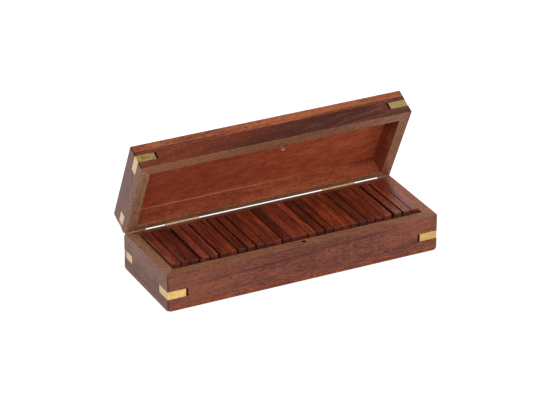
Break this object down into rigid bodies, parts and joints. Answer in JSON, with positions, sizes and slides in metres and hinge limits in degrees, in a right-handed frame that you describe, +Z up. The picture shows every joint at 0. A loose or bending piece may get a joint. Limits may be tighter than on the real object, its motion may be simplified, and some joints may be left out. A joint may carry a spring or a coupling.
{
  "type": "domino storage box",
  "caption": "Hinged hardwood box with let-in brass corner straps and a wire catch, holding a row of upright domino tiles",
  "frame": {"origin": "centre of the underside, on the surface that the box stands on", "axes": "+X along the box to the right, +Y from the front wall to the hinge side, +Z up"},
  "size_m": [0.2, 0.0859, 0.0959],
  "materials": {
    "long_wall_wood": "oiled, satin",
    "end_wall_wood": "oiled, satin",
    "panel_wood": "oiled, satin",
    "tile_wood": "polished, semi-gloss",
    "brass": "brushed by hand sanding"
  },
  "bodies": {
    "base": {"base_bottom_panel": "panel_wood", "base_front_wall": "long_wall_wood", "base_back_wall": "long_wall_wood", "base_left_wall": "end_wall_wood", "base_right_wall": "end_wall_wood", "base_strap_front_left": "brass", "base_strap_front_right": "brass", "base_strap_back_left": "brass", "base_strap_back_right": "brass", "hinge_left_base_leaf": "brass", "hinge_right_base_leaf": "brass", "hinge_left_pin": "brass", "hinge_right_pin": "brass", "hinge_nails_base": "brass"},
    "lid": {"lid_top_panel": "panel_wood", "lid_front_wall": "long_wall_wood", "lid_back_wall": "long_wall_wood", "lid_left_wall": "end_wall_wood", "lid_right_wall": "end_wall_wood", "lid_strap_front_left": "brass", "lid_strap_front_right": "brass", "lid_strap_back_left": "brass", "lid_strap_back_right": "brass", "hinge_left_lid_leaf": "brass", "hinge_right_lid_leaf": "brass", "hinge_nails_lid": "brass", "catch_wire": "brass"},
    "tile_0_0_body": {"tile_0_0": "tile_wood"},
    "tile_0_1_body": {"tile_0_1": "tile_wood"},
    "tile_0_2_body": {"tile_0_2": "tile_wood"},
    "tile_0_3_body": {"tile_0_3": "tile_wood"},
    "tile_0_4_body": {"tile_0_4": "tile_wood"},
    "tile_0_5_body": {"tile_0_5": "tile_wood"},
    "tile_0_6_body": {"tile_0_6": "tile_wood"},
    "tile_1_1_body": {"tile_1_1": "tile_wood"},
    "tile_1_2_body": {"tile_1_2": "tile_wood"},
    "tile_1_3_body": {"tile_1_3": "tile_wood"},
    "tile_1_4_body": {"tile_1_4": "tile_wood"},
    "tile_1_5_body": {"tile_1_5": "tile_wood"},
    "tile_1_6_body": {"tile_1_6": "tile_wood"},
    "tile_2_2_body": {"tile_2_2": "tile_wood"},
    "tile_2_3_body": {"tile_2_3": "tile_wood"},
    "tile_2_4_body": {"tile_2_4": "tile_wood"},
    "tile_2_5_body": {"tile_2_5": "tile_wood"},
    "tile_2_6_body": {"tile_2_6": "tile_wood"},
    "tile_3_3_body": {"tile_3_3": "tile_wood"},
    "tile_3_4_body": {"tile_3_4": "tile_wood"},
    "tile_3_5_body": {"tile_3_5": "tile_wood"},
    "tile_3_6_body": {"tile_3_6": "tile_wood"},
    "tile_4_4_body": {"tile_4_4": "tile_wood"},
    "tile_4_5_body": {"tile_4_5": "tile_wood"},
    "tile_4_6_body": {"tile_4_6": "tile_wood"},
    "tile_5_5_body": {"tile_5_5": "tile_wood"},
    "tile_5_6_body": {"tile_5_6": "tile_wood"},
    "tile_6_6_body": {"tile_6_6": "tile_wood"}
  },
  "joints": [
    {"name": "lid_hinge", "type": "hinge", "parent": "base", "child": "lid", "pos_m": [0, 0.0326, 0.02685], "axis": [-1, 0, 0], "range_deg": [-64, 42]},
    {"name": "tile_0_0_lift", "type": "slide", "parent": "base", "child": "tile_0_0_body", "axis": [0, 0, 1], "range_m": [0, 0.03]},
    {"name": "tile_0_1_lift", "type": "slide", "parent": "base", "child": "tile_0_1_body", "axis": [0, 0, 1], "range_m": [0, 0.03]},
    {"name": "tile_0_2_lift", "type": "slide", "parent": "base", "child": "tile_0_2_body", "axis": [0, 0, 1], "range_m": [0, 0.03]},
    {"name": "tile_0_3_lift", "type": "slide", "parent": "base", "child": "tile_0_3_body", "axis": [0, 0, 1], "range_m": [0, 0.03]},
    {"name": "tile_0_4_lift", "type": "slide", "parent": "base", "child": "tile_0_4_body", "axis": [0, 0, 1], "range_m": [0, 0.03]},
    {"name": "tile_0_5_lift", "type": "slide", "parent": "base", "child": "tile_0_5_body", "axis": [0, 0, 1], "range_m": [0, 0.03]},
    {"name": "tile_0_6_lift", "type": "slide", "parent": "base", "child": "tile_0_6_body", "axis": [0, 0, 1], "range_m": [0, 0.03]},
    {"name": "tile_1_1_lift", "type": "slide", "parent": "base", "child": "tile_1_1_body", "axis": [0, 0, 1], "range_m": [0, 0.03]},
    {"name": "tile_1_2_lift", "type": "slide", "parent": "base", "child": "tile_1_2_body", "axis": [0, 0, 1], "range_m": [0, 0.03]},
    {"name": "tile_1_3_lift", "type": "slide", "parent": "base", "child": "tile_1_3_body", "axis": [0, 0, 1], "range_m": [0, 0.03]},
    {"name": "tile_1_4_lift", "type": "slide", "parent": "base", "child": "tile_1_4_body", "axis": [0, 0, 1], "range_m": [0, 0.03]},
    {"name": "tile_1_5_lift", "type": "slide", "parent": "base", "child": "tile_1_5_body", "axis": [0, 0, 1], "range_m": [0, 0.03]},
    {"name": "tile_1_6_lift", "type": "slide", "parent": "base", "child": "tile_1_6_body", "axis": [0, 0, 1], "range_m": [0, 0.03]},
    {"name": "tile_2_2_lift", "type": "slide", "parent": "base", "child": "tile_2_2_body", "axis": [0, 0, 1], "range_m": [0, 0.03]},
    {"name": "tile_2_3_lift", "type": "slide", "parent": "base", "child": "tile_2_3_body", "axis": [0, 0, 1], "range_m": [0, 0.03]},
    {"name": "tile_2_4_lift", "type": "slide", "parent": "base", "child": "tile_2_4_body", "axis": [0, 0, 1], "range_m": [0, 0.03]},
    {"name": "tile_2_5_lift", "type": "slide", "parent": "base", "child": "tile_2_5_body", "axis": [0, 0, 1], "range_m": [0, 0.03]},
    {"name": "tile_2_6_lift", "type": "slide", "parent": "base", "child": "tile_2_6_body", "axis": [0, 0, 1], "range_m": [0, 0.03]},
    {"name": "tile_3_3_lift", "type": "slide", "parent": "base", "child": "tile_3_3_body", "axis": [0, 0, 1], "range_m": [0, 0.03]},
    {"name": "tile_3_4_lift", "type": "slide", "parent": "base", "child": "tile_3_4_body", "axis": [0, 0, 1], "range_m": [0, 0.03]},
    {"name": "tile_3_5_lift", "type": "slide", "parent": "base", "child": "tile_3_5_body", "axis": [0, 0, 1], "range_m": [0, 0.03]},
    {"name": "tile_3_6_lift", "type": "slide", "parent": "base", "child": "tile_3_6_body", "axis": [0, 0, 1], "range_m": [0, 0.03]},
    {"name": "tile_4_4_lift", "type": "slide", "parent": "base", "child": "tile_4_4_body", "axis": [0, 0, 1], "range_m": [0, 0.03]},
    {"name": "tile_4_5_lift", "type": "slide", "parent": "base", "child": "tile_4_5_body", "axis": [0, 0, 1], "range_m": [0, 0.03]},
    {"name": "tile_4_6_lift", "type": "slide", "parent": "base", "child": "tile_4_6_body", "axis": [0, 0, 1], "range_m": [0, 0.03]},
    {"name": "tile_5_5_lift", "type": "slide", "parent": "base", "child": "tile_5_5_body", "axis": [0, 0, 1], "range_m": [0, 0.03]},
    {"name": "tile_5_6_lift", "type": "slide", "parent": "base", "child": "tile_5_6_body", "axis": [0, 0, 1], "range_m": [0, 0.03]},
    {"name": "tile_6_6_lift", "type": "slide", "parent": "base", "child": "tile_6_6_body", "axis": [0, 0, 1], "range_m": [0, 0.03]}
  ]
}
